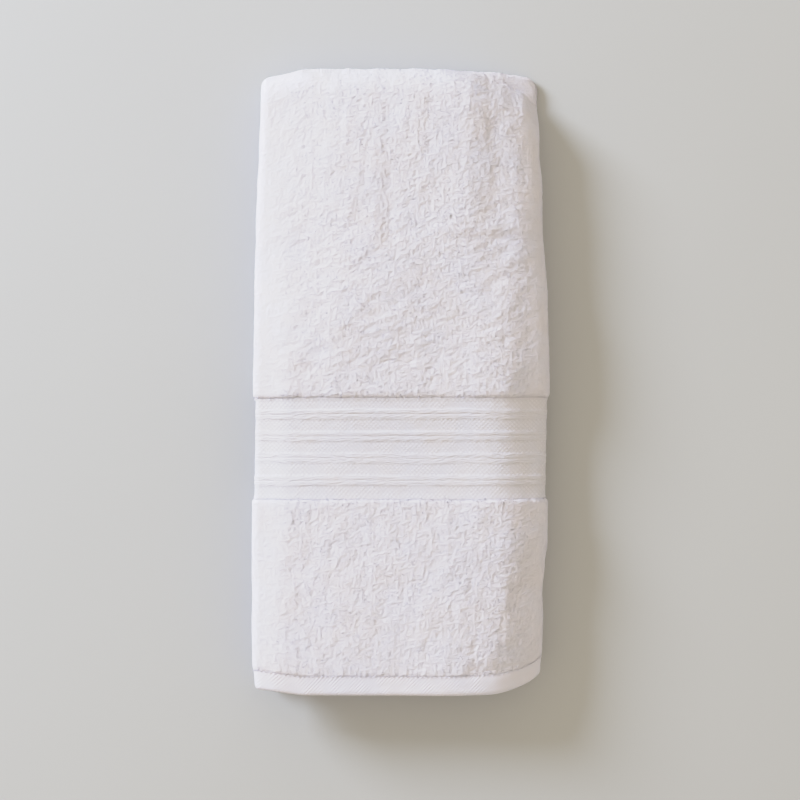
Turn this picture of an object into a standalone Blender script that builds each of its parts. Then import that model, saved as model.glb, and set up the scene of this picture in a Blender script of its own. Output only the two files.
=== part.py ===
"""White terry hand towel, folded in thirds along its length and then in half, lying flat.

The cloth is one sheet. A flat grid, one column for each crease line along the towel and one row for each
line across it, is laid into the two folds and given its thickness by Solidify: thick where there is pile,
thin in the woven band and in the hems.

Across the towel the layers are the face panel, which shows, the inner flap tucked under it from the left,
and the outer flap wrapped under both from the right. Folding in half brings a second set of three layers
under the first, so six layers lie one on another, with the half fold at +Y and the hems at -Y.
"""

from math import cos, pi, sin

import bmesh
import bpy
from mathutils import Vector

MM = 0.001

# The towel laid out flat
TOWEL_WIDTH = 500 * MM
HEM_WIDTH = 11.0 * MM
SIDE_HEM_WIDTH = 4.5 * MM

# Thickness of the cloth
PILE_THICK = 5.8 * MM
PILE_EDGE_THICK = 4.9 * MM
BAND_THICK = 1.8 * MM
RIB_THICK = 3.4 * MM
RIB_LOW_SIDE_THICK = 3.0 * MM
HEM_THICK = 2.6 * MM
HEM_NOSE_THICK = 1.2 * MM
STITCH_THICK = 1.5 * MM
SIDE_HEM_SHARE = HEM_THICK / PILE_THICK

# The run over which one thickness turns into the next
HEM_NOSE_RUN = 1.3 * MM
STITCH_RUN = 1.2 * MM
EDGE_RUN = 0.8 * MM
RIB_RISE = 0.7 * MM
RIB_DROP = 1.0 * MM

# How the layers lie on each other
LAYER_GAP = 0.6 * MM
HALF_FOLD_GAP = 1.4 * MM
CREASE_SHARE = 0.82
PITCH = PILE_THICK + LAYER_GAP
OUTER_FLAP_LEVEL = (PILE_THICK + HALF_FOLD_GAP) / 2
INNER_FLAP_LEVEL = OUTER_FLAP_LEVEL + PITCH
FACE_LEVEL = INNER_FLAP_LEVEL + PITCH
HALF_HEIGHT = FACE_LEVEL + PILE_THICK / 2
LEFT_FOLD_RADIUS = (FACE_LEVEL - INNER_FLAP_LEVEL) / 2
RIGHT_FOLD_RADIUS = (FACE_LEVEL - OUTER_FLAP_LEVEL) / 2

# Distances from the hem's end, along the face
FOLDED_LENGTH = 390.3 * MM
TURN_START = FOLDED_LENGTH - HALF_HEIGHT
BAND_START = 121.8 * MM
BAND_END = 183.4 * MM
FIRST_RIB = 129.7 * MM
RIB_PITCH = 13.7 * MM
RIB_WIDTH = 6.2 * MM
RIB_COUNT = 4

# The folded outline: (from the hem's end, left fold line, right fold line)
OUTLINE = [
    (0 * MM, -91.6 * MM, 86.8 * MM),
    (20 * MM, -92.8 * MM, 88.0 * MM),
    (39 * MM, -93.1 * MM, 89.7 * MM),
    (58 * MM, -92.8 * MM, 89.1 * MM),
    (77 * MM, -93.1 * MM, 90.6 * MM),
    (92 * MM, -93.1 * MM, 92.5 * MM),
    (117 * MM, -92.9 * MM, 92.6 * MM),
    (189 * MM, -92.2 * MM, 93.7 * MM),
    (245 * MM, -91.3 * MM, 92.5 * MM),
    (294 * MM, -90.3 * MM, 89.3 * MM),
    (317 * MM, -89.4 * MM, 89.2 * MM),
    (339 * MM, -88.4 * MM, 86.4 * MM),
    (372 * MM, -87.4 * MM, 85.6 * MM),
]
LOWER_HALF_INSET = 2.0 * MM

# Where a flap stops short of the fold, the layers above settle into the space it leaves
SETTLE_CLEARANCE = 2 * MM
SETTLE_WIDTH = 23 * MM
LEFT_SETTLE = 3.4 * MM
RIGHT_LOWER_SETTLE = 2.0 * MM
RIGHT_UPPER_SETTLE = 2.4 * MM

# How far the face lies below the full height, and a slow swell of the whole stack
BAND_SAG = 0.9 * MM
HEM_FALL = 2.0 * MM
HEM_FALL_LENGTH = 20 * MM
TURN_FALL = 2.8 * MM
TURN_FALL_LENGTH = 110 * MM
SWELL = 0.45 * MM
SWELL_LENGTH = 95 * MM

# How far the ends draw back from a straight line near the side folds, and each flap further in
HEM_DRAW_LEFT = 3.5 * MM
HEM_DRAW_RIGHT = 9.0 * MM
TURN_DRAW = 5.2 * MM
DRAW_WIDTH = 34 * MM
FLAP_DRAW = 3.0 * MM
LOWER_HALF_DRAW = 2.5 * MM

# Mesh lines: spans around each fold, lines between the hem, the band and the turn, and the face's columns
LEFT_FOLD_SPANS = 5
RIGHT_FOLD_SPANS = 6
TURN_SPANS = 10
UPPER_FRONT_LINES = 4
UPPER_BACK_LINES = 7
LOWER_FRONT_LINES = 2
LOWER_BACK_LINES = 3
MARGINS = [0, 7 * MM, 15 * MM, 31 * MM, 55 * MM]
LAST_UNDER_FLAP = 3

COTTON_WHITE = (0.87, 0.86, 0.88, 1)
COTTON_ROUGHNESS = 0.95


def ease(t):
    """0 to 1, level at both ends."""
    t = min(max(t, 0), 1)
    return t * t * (3 - 2 * t)


def share_at_turn(from_hem):
    """0 over most of the length, rising to 1 where the half fold starts."""
    return ease(1 - (TURN_START - from_hem) / TURN_FALL_LENGTH)


def fold_lines(from_hem, lower):
    """The left and right outline at a distance from the hem.

    The lower half lies a little inside the upper, except at the turn.
    """
    inset = LOWER_HALF_INSET * (1 - share_at_turn(from_hem)) if lower else 0
    for (low, left_a, right_a), (high, left_b, right_b) in zip(OUTLINE, OUTLINE[1:]):
        if from_hem <= high or (high, left_b, right_b) == OUTLINE[-1]:
            t = ease((from_hem - low) / (high - low))
            left = left_a + (left_b - left_a) * t
            right = right_a + (right_b - right_a) * t
            return left + inset, right - inset


def lines_across():
    """The towel's cross lines, from the upper hem over the turn to the lower hem.

    Each is (distance from the hem's end, angle turned, thickness of the cloth there).
    """
    hem = [
        (0, HEM_NOSE_THICK),
        (HEM_NOSE_RUN, HEM_THICK),
        (HEM_WIDTH - STITCH_RUN, HEM_THICK),
        (HEM_WIDTH, STITCH_THICK),
        (HEM_WIDTH + EDGE_RUN, PILE_EDGE_THICK),
        (HEM_WIDTH + 3 * EDGE_RUN, PILE_THICK),
    ]
    before_band = [
        (BAND_START - 3 * EDGE_RUN, PILE_THICK),
        (BAND_START - EDGE_RUN, PILE_EDGE_THICK),
        (BAND_START, BAND_THICK),
    ]
    after_band = [(BAND_END + BAND_START - d, thick) for d, thick in reversed(before_band)]
    ribs = []
    for rib in range(RIB_COUNT):
        start = FIRST_RIB + rib * RIB_PITCH
        ribs += [
            (start, BAND_THICK),
            (start + RIB_RISE, RIB_LOW_SIDE_THICK),
            (start + RIB_WIDTH - RIB_DROP, RIB_THICK),
            (start + RIB_WIDTH, BAND_THICK),
        ]
    pile_start, front_end, back_start = hem[-1][0], before_band[0][0], after_band[-1][0]
    upper_front = spread_lines(pile_start, front_end, UPPER_FRONT_LINES)
    upper_back = spread_lines(back_start, TURN_START, UPPER_BACK_LINES)
    upper = hem + upper_front + before_band + ribs + after_band + upper_back
    lower_front = spread_lines(pile_start, front_end, LOWER_FRONT_LINES)
    lower_back = spread_lines(back_start, TURN_START, LOWER_BACK_LINES)
    lower = hem + lower_front + before_band + after_band + lower_back
    lines = [(d, 0, thick) for d, thick in upper]
    lines += [(TURN_START, pi * k / TURN_SPANS, PILE_THICK) for k in range(TURN_SPANS + 1)]
    lines += [(d, pi, thick) for d, thick in reversed(lower)]
    return lines


def spread_lines(start, end, count):
    """Lines of full pile, evenly spaced between two others."""
    return [(start + (end - start) * k / (count + 1), PILE_THICK) for k in range(1, count + 1)]


def lines_along(left, right):
    """One cross section, from the inner flap's free edge to the outer flap's.

    Each point is (x, level above the half fold's plane, share of the thickness, draw at the hems). The
    flaps and the face share their x positions, so that the layers stay parallel.
    """
    left_centre, right_centre = fold_centres(left, right)
    inner_edge, outer_edge = free_edges(left, right)
    face = [left_centre + m for m in MARGINS] + [right_centre - m for m in reversed(MARGINS)]

    points = []
    inner_side_hem = [(inner_edge, SIDE_HEM_SHARE), (inner_edge - SIDE_HEM_WIDTH, SIDE_HEM_SHARE)]
    inner_pile = [(inner_edge - SIDE_HEM_WIDTH - EDGE_RUN, 1)]
    inner_pile += [(x, 1) for x in reversed(face[1:-LAST_UNDER_FLAP])]
    for x, share in inner_side_hem + inner_pile:
        draw = FLAP_DRAW * (x - left_centre) / (inner_edge - left_centre)
        points.append((x, INNER_FLAP_LEVEL, share, draw))
    fold_level = (FACE_LEVEL + INNER_FLAP_LEVEL) / 2
    for k in range(LEFT_FOLD_SPANS):
        a = pi * k / LEFT_FOLD_SPANS
        x = left_centre - LEFT_FOLD_RADIUS * sin(a)
        points.append((x, fold_level - LEFT_FOLD_RADIUS * cos(a), crease_share(a), 0))
    for x in face:
        points.append((x, FACE_LEVEL, 1, 0))
    fold_level = (FACE_LEVEL + OUTER_FLAP_LEVEL) / 2
    for k in range(1, RIGHT_FOLD_SPANS + 1):
        a = pi * k / RIGHT_FOLD_SPANS
        x = right_centre + RIGHT_FOLD_RADIUS * sin(a)
        points.append((x, fold_level + RIGHT_FOLD_RADIUS * cos(a), crease_share(a), 0))
    outer_pile = [(x, 1) for x in reversed(face[LAST_UNDER_FLAP:-1])]
    outer_pile += [(outer_edge + SIDE_HEM_WIDTH + EDGE_RUN, 1)]
    outer_side_hem = [(outer_edge + SIDE_HEM_WIDTH, SIDE_HEM_SHARE), (outer_edge, SIDE_HEM_SHARE)]
    for x, share in outer_pile + outer_side_hem:
        draw = FLAP_DRAW * (right_centre - x) / (right_centre - outer_edge)
        points.append((x, OUTER_FLAP_LEVEL, share, draw))
    return points


def fold_centres(left, right):
    """Where the face panel's flat part ends and each side fold begins."""
    return left + LEFT_FOLD_RADIUS + PILE_THICK / 2, right - RIGHT_FOLD_RADIUS - PILE_THICK / 2


def free_edges(left, right):
    """Where the inner flap ends, near the right fold, and the outer flap, near the left one."""
    left_centre, right_centre = fold_centres(left, right)
    folds = pi * (LEFT_FOLD_RADIUS + RIGHT_FOLD_RADIUS)
    flap_width = (TOWEL_WIDTH - (right_centre - left_centre) - folds) / 2
    return left_centre + flap_width, right_centre - flap_width


def crease_share(angle):
    """The pile is pressed where the cloth turns back on itself."""
    return 1 - (1 - CREASE_SHARE) * sin(angle)


def share_between(z, low, high):
    """0 at the low level, 1 at the high one."""
    return min(max((z - low) / (high - low), 0), 1)


def settle(x, z, left, right):
    """How far a point sinks near the side folds, where the flaps stop short."""
    inner_edge, outer_edge = free_edges(left, right)
    near_left = ease((outer_edge - SETTLE_CLEARANCE - x) / SETTLE_WIDTH)
    near_right = ease((x - inner_edge - SETTLE_CLEARANCE) / SETTLE_WIDTH)
    over_left_space = share_between(z, HALF_HEIGHT - INNER_FLAP_LEVEL, HALF_HEIGHT + INNER_FLAP_LEVEL)
    over_lower_space = share_between(z, HALF_HEIGHT - FACE_LEVEL, HALF_HEIGHT - OUTER_FLAP_LEVEL)
    over_upper_space = share_between(z, HALF_HEIGHT + OUTER_FLAP_LEVEL, HALF_HEIGHT + FACE_LEVEL)
    return (
        LEFT_SETTLE * near_left * over_left_space
        + RIGHT_LOWER_SETTLE * near_right * over_lower_space
        + RIGHT_UPPER_SETTLE * near_right * over_upper_space
    )


def fall(x, from_hem):
    """How far the face lies below the full height of the stack, along the towel."""
    band_middle = (BAND_START + BAND_END) / 2
    from_band = abs(from_hem - band_middle) / (BAND_END - BAND_START) * 2
    swell = SWELL * sin(2 * pi * from_hem / SWELL_LENGTH) * cos(pi * x / SWELL_LENGTH)
    return (
        BAND_SAG * ease(1 - from_band)
        + HEM_FALL * ease(1 - from_hem / HEM_FALL_LENGTH)
        + TURN_FALL * share_at_turn(from_hem)
        + swell
    )


def draw_back(x, left, right, from_hem, flap_draw, lower):
    """How far a point near the hems or the turn lies back from the straight end line."""
    near_left = ease((left + DRAW_WIDTH - x) / DRAW_WIDTH)
    near_right = ease((x - right + DRAW_WIDTH) / DRAW_WIDTH)
    at_hem = ease(1 - from_hem / BAND_START)
    hem_draw = HEM_DRAW_LEFT * near_left + HEM_DRAW_RIGHT * near_right + flap_draw
    hem_draw += LOWER_HALF_DRAW * lower
    return hem_draw * at_hem - TURN_DRAW * (near_left + near_right) * share_at_turn(from_hem)


def folded_cloth():
    """The middle surface of the cloth in its folds, with a vertex group that holds its thickness."""
    across = lines_across()
    columns = len(lines_along(*fold_lines(0, lower=False)))
    rows = len(across)
    bm = bmesh.new()
    bmesh.ops.create_grid(bm, x_segments=columns - 1, y_segments=rows - 1, size=0.5)
    shares = {}
    bm.verts.index_update()
    for v in bm.verts:
        column = round((v.co.x + 0.5) * (columns - 1))
        from_hem, angle, thick = across[round((v.co.y + 0.5) * (rows - 1))]
        lower = angle > pi / 2
        left, right = fold_lines(from_hem, lower)
        x, level, share, flap_draw = lines_along(left, right)[column]
        z = HALF_HEIGHT + level * cos(angle)
        y = from_hem + level * sin(angle) + draw_back(x, left, right, from_hem, flap_draw, lower)
        above_lowest = z - HALF_HEIGHT + FACE_LEVEL
        press = fall(x, from_hem) / (2 * FACE_LEVEL)
        v.co = Vector((x, y, z - settle(x, z, left, right) - press * above_lowest))
        pressed = max(0, press) * min(1, above_lowest / PITCH)
        shares[v.index] = min(thick / PILE_THICK, share) * (1 - pressed)
    mesh = bpy.data.meshes.new("towel")
    bm.to_mesh(mesh)
    bm.free()
    return mesh, shares


def cotton():
    """Bleached cotton, matt all over."""
    material = bpy.data.materials.new("white_cotton")
    material.use_nodes = True
    shader = material.node_tree.nodes["Principled BSDF"]
    shader.inputs["Base Color"].default_value = COTTON_WHITE
    shader.inputs["Roughness"].default_value = COTTON_ROUGHNESS
    shader.inputs["Metallic"].default_value = 0
    material.diffuse_color = COTTON_WHITE
    return material


def make_towel(collection):
    """The folded towel as one solid, its origin under the middle of its underside."""
    mesh, shares = folded_cloth()
    towel = bpy.data.objects.new("towel", mesh)
    collection.objects.link(towel)
    group = towel.vertex_groups.new(name="thickness")
    for index, share in shares.items():
        group.add([index], share, "REPLACE")
    thicken = towel.modifiers.new("cloth thickness", "SOLIDIFY")
    thicken.thickness = PILE_THICK
    thicken.offset = 0
    thicken.vertex_group = group.name
    thicken.use_rim = True
    mesh.materials.append(cotton())
    mesh.shade_smooth()

    bpy.context.view_layer.update()
    solid = towel.evaluated_get(bpy.context.evaluated_depsgraph_get())
    corners = [Vector(corner) for corner in solid.bound_box]
    low = Vector([min(c[axis] for c in corners) for axis in range(3)])
    high = Vector([max(c[axis] for c in corners) for axis in range(3)])
    towel.location = (-(low.x + high.x) / 2, -(low.y + high.y) / 2, -low.z)
    return towel


def main():
    for old in list(bpy.data.objects):
        bpy.data.objects.remove(old)
    collection = bpy.data.collections.new("hand towel")
    bpy.context.scene.collection.children.link(collection)
    make_towel(collection)


main()
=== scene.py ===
"""White terry hand towel, folded in thirds along its length and then in half, lying on a pale table.

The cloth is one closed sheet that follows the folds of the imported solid. Its pile is a soft surface with
real loops of yarn in it, set in warp lines on the faces of the cloth that show, and its band and hems are
woven flat. Sizes are in millimetres until a mesh is made.
"""

from math import pi

import bpy
import numpy as np
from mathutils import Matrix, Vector


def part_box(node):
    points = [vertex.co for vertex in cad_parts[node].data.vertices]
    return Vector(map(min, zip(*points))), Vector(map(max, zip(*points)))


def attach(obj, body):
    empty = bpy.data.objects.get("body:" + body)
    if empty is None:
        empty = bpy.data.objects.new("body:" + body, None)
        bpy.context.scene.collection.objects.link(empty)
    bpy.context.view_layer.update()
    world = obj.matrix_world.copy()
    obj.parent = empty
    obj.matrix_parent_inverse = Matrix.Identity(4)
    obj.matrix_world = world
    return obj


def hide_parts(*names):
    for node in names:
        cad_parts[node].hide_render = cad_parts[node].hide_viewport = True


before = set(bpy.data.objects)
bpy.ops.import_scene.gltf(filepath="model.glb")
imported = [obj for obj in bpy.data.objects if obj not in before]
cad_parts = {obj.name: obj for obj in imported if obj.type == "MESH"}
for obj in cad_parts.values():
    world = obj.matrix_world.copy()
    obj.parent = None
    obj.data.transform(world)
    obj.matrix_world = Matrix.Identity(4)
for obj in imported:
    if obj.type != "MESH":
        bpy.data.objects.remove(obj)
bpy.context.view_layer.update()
solid_low, solid_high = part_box("towel")

MM = 0.001

# The towel laid out flat: its face between the side folds has a flap on either side
TOWEL_WIDTH = 500
FLAP_WIDTH = 150.2
FACE_WIDTH = 169.4
HEM_WIDTH = 12.2
SIDE_HEM_WIDTH = 4.5

# Thickness of the cloth over its pile, and how far from its middle these lie: the ground under the loops,
# the soft surface of the pile, and the surface under the loops of the lower half
PILE_THICK = 5.8
GROUND_OFFSET = 1.2
BULK_OFFSET = 2.35
UNDER_OFFSET = 2.0

# Thickness of the band and the hem, and how high the two cords of a rib stand out
BAND_THICK = 1.4
UPPER_CORD_HEIGHT = 0.32
LOWER_CORD_HEIGHT = 0.22
HEM_THICK = 3.6
SEAM_THICK = 3.5
SEAM_WIDTH = 1.2
HEM_NOSE_THICK = 0.9
HEM_NOSE_LENGTH = 3.4

# How the layers lie on each other, as in the solid
LAYER_GAP = 0.6
HALF_FOLD_GAP = 1.4
CREASE_SHARE = 0.82
PITCH = PILE_THICK + LAYER_GAP
OUTER_FLAP_LEVEL = (PILE_THICK + HALF_FOLD_GAP) / 2
INNER_FLAP_LEVEL = OUTER_FLAP_LEVEL + PITCH
FACE_LEVEL = INNER_FLAP_LEVEL + PITCH
HALF_HEIGHT = FACE_LEVEL + PILE_THICK / 2
LEFT_FOLD_RADIUS = (FACE_LEVEL - INNER_FLAP_LEVEL) / 2
RIGHT_FOLD_RADIUS = (FACE_LEVEL - OUTER_FLAP_LEVEL) / 2

# Where the face ends, across the flat cloth
FACE_END = FLAP_WIDTH + pi * LEFT_FOLD_RADIUS + FACE_WIDTH

# Round the outside of the folded cloth: the left fold, the face and the right fold
OUTER_LEFT = pi * (LEFT_FOLD_RADIUS + PILE_THICK / 2)
OUTER_RIGHT = pi * (RIGHT_FOLD_RADIUS + PILE_THICK / 2)
GIRTH = OUTER_LEFT + FACE_WIDTH + OUTER_RIGHT

# Distances from the hem's end, along the face
FOLDED_LENGTH = (solid_high.y - solid_low.y) / MM
TURN_START = FOLDED_LENGTH - HALF_HEIGHT
TURN_LENGTH = pi * HALF_HEIGHT
TURN_END = TURN_START + TURN_LENGTH
LOWER_END = TURN_END + TURN_START
BAND_START = 121.8
BAND_END = 183.4
FIRST_RIB = 129.7
RIB_PITCH = 13.7
RIB_WIDTH = 6.2
RIB_COUNT = 4

# The folded outline: (from the hem's end, left fold line, right fold line)
OUTLINE = np.array(
    [
        (0, -91.6, 88.4),
        (20, -92.8, 89.2),
        (39, -93.1, 89.7),
        (58, -92.8, 89.1),
        (77, -93.1, 90.6),
        (92, -93.1, 92.5),
        (117, -92.9, 92.6),
        (189, -92.2, 93.7),
        (245, -91.3, 92.5),
        (294, -90.3, 89.3),
        (317, -89.4, 89.2),
        (339, -88.4, 87.4),
        (372, -87.4, 87.2),
    ]
)
LOWER_HALF_INSET = 2.0

# Where a flap stops short of the fold, the layers above settle into the space it leaves
SETTLE_CLEARANCE = 2
SETTLE_WIDTH = 23
LEFT_SETTLE = 3.4

# The face rolls down to the right fold: (from the hem's end, how far in the roll starts, how far it drops,
# and the slope at which the face leans to the right before it)
ROLL = np.array(
    [
        (0, 46, 13, 0),
        (20, 46, 13, 0),
        (50, 40, 11.3, 0),
        (100, 37, 11.5, 0),
        (125, 47, 12.5, 0),
        (185, 47, 12, 0),
        (205, 44, 9.5, 0),
        (240, 42, 8.5, 0),
        (258, 32, 7, 0.1),
        (275, 24, 4.5, 0.18),
        (320, 18, 2.4, 0.25),
        (380, 18, 2.2, 0.25),
    ]
)
ROLL_BEND = 1.6
LEAN_START = 38
LEAN_ROUNDING = 10

# The upper right corner slumps under a plane, given by its height at the corner and how much it rises for
# each millimetre to the left and down. Right of SLUMP_STEEP_FROM it falls faster. By the fold the stack
# keeps a least height, which is more to the left of SLUMP_EDGE.
SLUMP_CORNER = (85.2, 379.7)
SLUMP_HEIGHT = -8.5
SLUMP_RISE = (0.87, 1.35)
SLUMP_STEEP_FROM = 76
SLUMP_STEEPER = 0.9
SLUMP_EDGE = 89.0
SLUMP_EDGE_RISE = 0.38
SLUMP_LEAST = 0.4
SLUMP_ROUNDING = 4.0
SLUMP_BASE = 1.3
SLUMP_LEAST_SHARE = 0.02

# The pile is pressed flat where less than this share of the stack's height stays, down to a last share
SQUASHED_BELOW = 0.08
MOST_SQUASHED = 0.15

# Soft dips of the whole stack, and rises where the depth is below 0: both ends as (x, from the hem's end),
# width, depth
CREASES = [
    ((57, 372), (57.5, 352), 6, 0.6),
    ((57.5, 352), (59, 300), 5, 0.4),
    ((-30, 320), (-28, 240), 48, -3.8),
    ((26, 40), (28, 8), 24, -1.8),
    ((44, 14.5), (66, 15.5), 4, 1.0),
    ((-7, 361), (-6, 285), 4, 0.55),
    ((24, 288), (80, 290), 2.5, -0.5),
    ((52, 283), (82, 282), 2.5, 0.6),
    ((-16, 205), (2, 208), 2.5, 0.5),
]

# How far the face lies below the full height, and a slow swell of the whole stack
BAND_SAG = 0.9
HEM_FALL = 1.0
HEM_FALL_LENGTH = 16
TURN_FALL = 1.4
TURN_FALL_LENGTH = 110
SWELL = 0.45
SWELL_LENGTH = 95
CROWN = 2.2
CROWN_START = -28
CROWN_WIDTH = 64

# How far the ends draw back from a straight line near the side folds, and each flap further in
HEM_DRAW_LEFT = 3.5
HEM_DRAW_RIGHT = 5.5
HEM_CORNER = 8.0
HEM_CORNER_BEND = 6
HEM_SLANT = 1.2
HEM_SLANT_WIDTH = 60
TURN_DRAW_LEFT = 5.2
TURN_DRAW_RIGHT = 3.0
DRAW_WIDTH = 34
FLAP_DRAW = 3.0
LOWER_HALF_DRAW = 2.5


def ease(t):
    """0 to 1, level at both ends."""
    t = np.clip(t, 0, 1)
    return t * t * (3 - 2 * t)


# ---- the fold: where each place of the flat cloth lies ----
# A place is (section, along): section runs 0 to 1 over the inner flap, to 2 round the left fold, to 3 over
# the face, to 4 round the right fold and to 5 over the outer flap; along is the distance from the upper hem.


def share_at_turn(from_hem):
    """0 over most of the length, rising to 1 where the half fold starts."""
    return ease(1 - (TURN_START - from_hem) / TURN_FALL_LENGTH)


def halves(along):
    """(distance from the nearer hem, angle turned round the half fold)."""
    angle = pi * np.clip((along - TURN_START) / TURN_LENGTH, 0, 1)
    from_hem = np.minimum(along, 2 * TURN_START + TURN_LENGTH - along)
    return np.minimum(from_hem, TURN_START), angle


def fold_lines(from_hem, angle):
    """The left and right outline; the lower half lies a little inside the upper, except at the turn."""
    inset = np.where(angle > pi / 2, LOWER_HALF_INSET * (1 - share_at_turn(from_hem)), 0)
    starts = OUTLINE[:, 0]
    before = np.clip(np.searchsorted(starts, from_hem, side="right") - 1, 0, len(starts) - 2)
    t = ease((from_hem - starts[before]) / (starts[before + 1] - starts[before]))[..., None]
    sides = OUTLINE[before, 1:] * (1 - t) + OUTLINE[before + 1, 1:] * t
    return sides[..., 0] + inset, sides[..., 1] - inset


def fold_centres(left, right):
    """Where the face panel's flat part ends and each side fold begins."""
    return left + LEFT_FOLD_RADIUS + PILE_THICK / 2, right - RIGHT_FOLD_RADIUS - PILE_THICK / 2


def free_edges(left, right):
    """Where the inner flap ends, near the right fold, and the outer flap, near the left one."""
    left_centre, right_centre = fold_centres(left, right)
    folds = pi * (LEFT_FOLD_RADIUS + RIGHT_FOLD_RADIUS)
    flap_width = (TOWEL_WIDTH - (right_centre - left_centre) - folds) / 2
    return left_centre + flap_width, right_centre - flap_width


def cross_section(section, left, right):
    """(x, level above the half fold's plane, how far the flaps draw in at the hems)."""
    left_centre, right_centre = fold_centres(left, right)
    inner_edge, outer_edge = free_edges(left, right)
    number = np.clip(np.floor(section), 0, 4)
    t = section - number
    turn = pi * t
    parts = [number == k for k in range(5)]
    x = np.select(
        parts,
        [
            inner_edge + (left_centre - inner_edge) * t,
            left_centre - LEFT_FOLD_RADIUS * np.sin(turn),
            left_centre + (right_centre - left_centre) * t,
            right_centre + RIGHT_FOLD_RADIUS * np.sin(turn),
            right_centre + (outer_edge - right_centre) * t,
        ],
    )
    level = np.select(
        parts,
        [
            np.full_like(t, INNER_FLAP_LEVEL),
            (FACE_LEVEL + INNER_FLAP_LEVEL) / 2 - LEFT_FOLD_RADIUS * np.cos(turn),
            np.full_like(t, FACE_LEVEL),
            (FACE_LEVEL + OUTER_FLAP_LEVEL) / 2 + RIGHT_FOLD_RADIUS * np.cos(turn),
            np.full_like(t, OUTER_FLAP_LEVEL),
        ],
    )
    draw = np.select(parts[:1] + parts[4:], [FLAP_DRAW * (1 - t), FLAP_DRAW * t], 0)
    return x, level, draw


def share_between(z, low, high):
    """0 at the low level, 1 at the high one."""
    return np.clip((z - low) / (high - low), 0, 1)


def right_drop(x, right, from_hem):
    """How far the face drops towards the right fold."""
    start, drop, lean = (np.interp(from_hem, ROLL[:, 0], ROLL[:, k]) for k in (1, 2, 3))
    rolled = ease(np.clip(1 - (right - x) / start, 0, 1) ** ROLL_BEND)
    past = np.maximum(x - LEAN_START, 0)
    return drop * rolled + lean * past**2 / (past + LEAN_ROUNDING)


def from_segment(x, y, start, end):
    """Distance from a straight line between two points."""
    step = np.subtract(end, start)
    share = np.clip(((x - start[0]) * step[0] + (y - start[1]) * step[1]) / (step @ step), 0, 1)
    return np.hypot(x - start[0] - share * step[0], y - start[1] - share * step[1])


def settle(x, z, left, right, from_hem):
    """How far a point sinks: on the left where the outer flap stops short, on the right with the roll."""
    outer_edge = free_edges(left, right)[1]
    near_left = ease((outer_edge - SETTLE_CLEARANCE - x) / SETTLE_WIDTH)
    over_left_space = share_between(z, HALF_HEIGHT - INNER_FLAP_LEVEL, HALF_HEIGHT + INNER_FLAP_LEVEL)
    over_lower_space = share_between(z, HALF_HEIGHT - FACE_LEVEL, HALF_HEIGHT - OUTER_FLAP_LEVEL)
    over_upper_space = share_between(z, HALF_HEIGHT + OUTER_FLAP_LEVEL, HALF_HEIGHT + FACE_LEVEL)
    return (
        LEFT_SETTLE * near_left * over_left_space
        + right_drop(x, right, from_hem) / 2 * (over_lower_space + over_upper_space)
    )


def fall(x, from_hem):
    """How far the face lies below the full height of the stack, along the towel."""
    band_middle = (BAND_START + BAND_END) / 2
    from_band = np.abs(from_hem - band_middle) / (BAND_END - BAND_START) * 2
    swell = SWELL * np.sin(2 * pi * from_hem / SWELL_LENGTH) * np.cos(pi * x / SWELL_LENGTH)
    creases = sum(
        depth * np.exp(-((from_segment(x, from_hem, start, end) / width) ** 2))
        for start, end, width, depth in CREASES
    )
    return (
        CROWN * ease((CROWN_START - x) / CROWN_WIDTH)
        + BAND_SAG * ease(1 - from_band)
        + HEM_FALL * ease(1 - from_hem / HEM_FALL_LENGTH)
        + TURN_FALL * share_at_turn(from_hem)
        + swell
        + creases
    )


def draw_back(x, left, right, from_hem, flap_draw, angle):
    """How far a point near the hems or the turn lies back from the straight end line."""
    near_left = ease((left + DRAW_WIDTH - x) / DRAW_WIDTH)
    near_right = ease((x - right + DRAW_WIDTH) / DRAW_WIDTH)
    at_hem = ease(1 - from_hem / BAND_START)
    right_corner = np.clip((x - right + DRAW_WIDTH) / DRAW_WIDTH, 0, 1) ** HEM_CORNER_BEND
    slant = HEM_SLANT * ease((x - right + HEM_SLANT_WIDTH) / HEM_SLANT_WIDTH)
    hem_draw = HEM_DRAW_LEFT * near_left + HEM_DRAW_RIGHT * near_right + HEM_CORNER * right_corner + slant
    hem_draw = hem_draw + flap_draw + LOWER_HALF_DRAW * (angle > pi / 2)
    turn_draw = TURN_DRAW_LEFT * near_left + TURN_DRAW_RIGHT * near_right
    return hem_draw * at_hem - turn_draw * share_at_turn(from_hem)


def slumped(x, y, right, from_hem):
    """Share of the stack's height that stays under the plane of the slumped corner."""
    usual = HALF_HEIGHT + FACE_LEVEL - SLUMP_BASE - right_drop(x, right, from_hem)
    rise = SLUMP_RISE[0] * (SLUMP_CORNER[0] - x) + SLUMP_RISE[1] * (SLUMP_CORNER[1] - y)
    rise = rise - SLUMP_STEEPER * np.maximum(x - SLUMP_STEEP_FROM, 0)
    by_edge = SLUMP_LEAST + SLUMP_EDGE_RISE * np.maximum(SLUMP_EDGE - x, 0)
    plane = np.maximum(SLUMP_HEIGHT + rise, by_edge)
    held = (usual + plane - np.sqrt((usual - plane) ** 2 + SLUMP_ROUNDING**2)) / 2
    return np.clip(held / usual, SLUMP_LEAST_SHARE, 1)


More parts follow.
